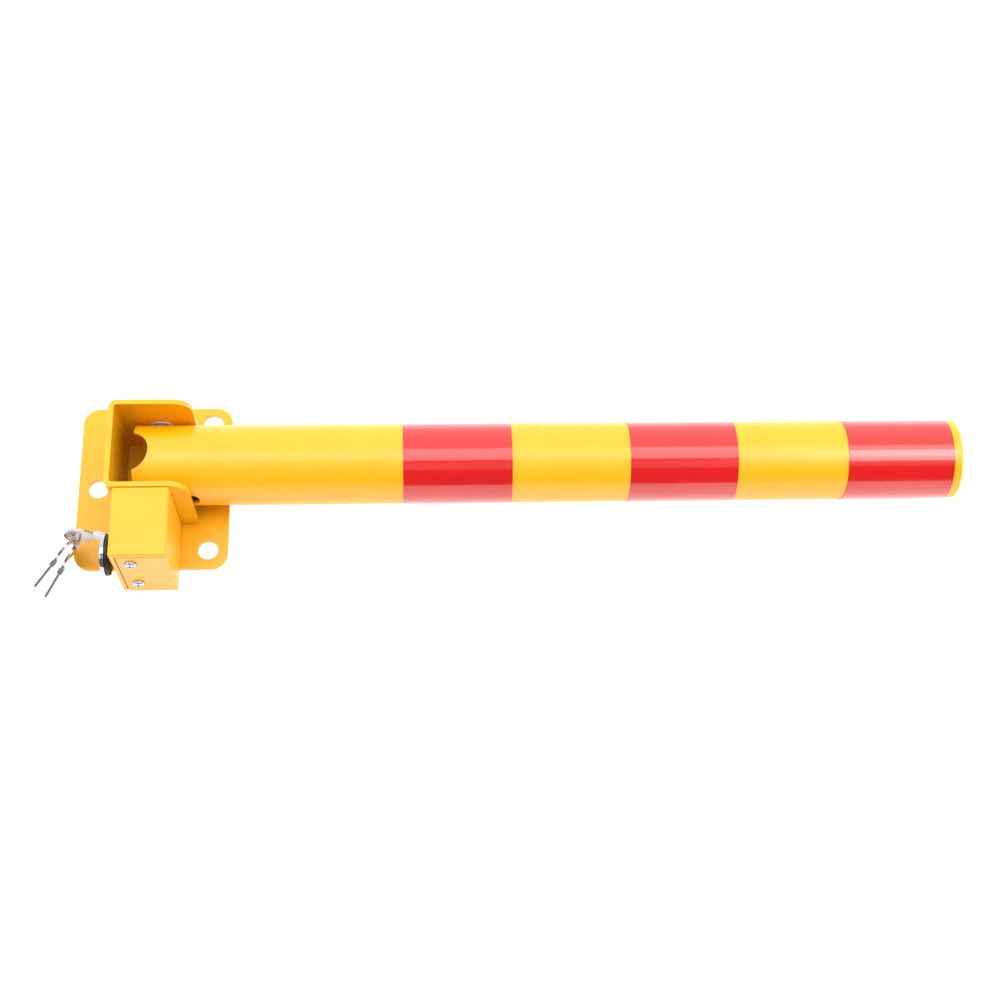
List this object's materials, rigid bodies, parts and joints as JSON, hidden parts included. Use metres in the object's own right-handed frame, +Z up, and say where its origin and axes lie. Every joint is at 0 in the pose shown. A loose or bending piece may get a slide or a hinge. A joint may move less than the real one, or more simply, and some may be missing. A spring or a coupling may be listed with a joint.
{
  "type": "folding parking post",
  "caption": "Fold-down parking lock: a round reflective-banded steel post that hinges in a U bracket on a base plate and locks upright with a key-driven bolt.",
  "frame": {"origin": "centre of the base plate's underside, on the ground", "axes": "+X along the folded post away from the hinge, +Y away from the lock box, +Z up"},
  "size_m": [0.732, 0.1637, 0.0795],
  "materials": {
    "powder_coat": "smooth satin yellow powder coat over steel",
    "cap_plastic": "yellow moulded plastic",
    "red_tape": "glossy red reflective tape",
    "zinc_plated": "bright zinc plate",
    "chrome_plated": "polished chrome plate",
    "bare_steel": "turned steel, oiled",
    "white_nylon": "natural nylon",
    "black_rubber": "matte black",
    "key_nickel": "nickel-plated, satin"
  },
  "bodies": {
    "housing": {"base_plate": "powder_coat", "u_bracket": "powder_coat", "lock_box": "powder_coat", "lock_cover": "powder_coat", "cover_bar": "bare_steel", "cover_screw_lower": "zinc_plated", "cover_screw_upper": "zinc_plated", "pivot_bolt": "zinc_plated", "pivot_nut": "zinc_plated", "pivot_washer": "zinc_plated", "pivot_shim_front": "white_nylon", "pivot_shim_rear": "white_nylon", "lock_body": "zinc_plated", "lock_nut": "zinc_plated", "bolt_guide": "bare_steel", "cover_rivet": "zinc_plated"},
    "post": {"post_tube": "powder_coat", "pivot_sleeve": "bare_steel", "end_cap": "cap_plastic", "red_band_1": "red_tape", "red_band_2": "red_tape", "red_band_3": "red_tape"},
    "plug": {"lock_plug": "zinc_plated", "lock_cam": "bare_steel", "cam_screw": "zinc_plated"},
    "bolt": {"lock_bolt": "chrome_plated"},
    "keyway_cover": {"dust_cover": "chrome_plated", "dust_cover_seal": "black_rubber"},
    "turned_key": {"key": "key_nickel"},
    "ring": {"key_ring": "key_nickel"},
    "first_spare": {"spare_key_1": "key_nickel"},
    "second_spare": {"spare_key_2": "key_nickel"}
  },
  "joints": [
    {"name": "post_fold", "type": "hinge", "parent": "housing", "child": "post", "pos_m": [0.0092, 0.004, 0.0385], "axis": [0, -1, 0], "range_deg": [0, 90]},
    {"name": "key_turn", "type": "hinge", "parent": "housing", "child": "plug", "pos_m": [-0.0224, -0.0566, 0.042], "axis": [-1, 0, 0], "range_deg": [0, 90]},
    {"name": "bolt_slide", "type": "slide", "parent": "housing", "child": "bolt", "axis": [0, 1, 0], "range_m": [0, 0.01]},
    {"name": "key_withdraw", "type": "slide", "parent": "plug", "child": "turned_key", "axis": [-1, 0, 0], "range_m": [0, 0.034]},
    {"name": "dust_cover_swing", "type": "hinge", "parent": "housing", "child": "keyway_cover", "pos_m": [-0.0224, -0.0636, 0.0522], "axis": [-1, 0, 0], "range_deg": [0, 90]},
    {"name": "ring_swing", "type": "hinge", "parent": "turned_key", "child": "ring", "pos_m": [-0.0559, -0.0566, 0.042], "axis": [-0.6293, 0.7771, 0], "range_deg": [0, 30]},
    {"name": "spare_key_1_swing", "type": "hinge", "parent": "ring", "child": "first_spare", "pos_m": [-0.05828, -0.05366, 0.0242], "axis": [-0.7454, 0.6545, 0.1265], "range_deg": [0, 20]},
    {"name": "spare_key_2_swing", "type": "hinge", "parent": "ring", "child": "second_spare", "pos_m": [-0.05468, -0.0581, 0.0236], "axis": [-0.8283, 0.5555, 0.0733], "range_deg": [0, 20]}
  ],
  "couplings": [
    {"joint": "bolt_slide", "follows": "key_turn", "m_per_rad": 0.0063662}
  ]
}
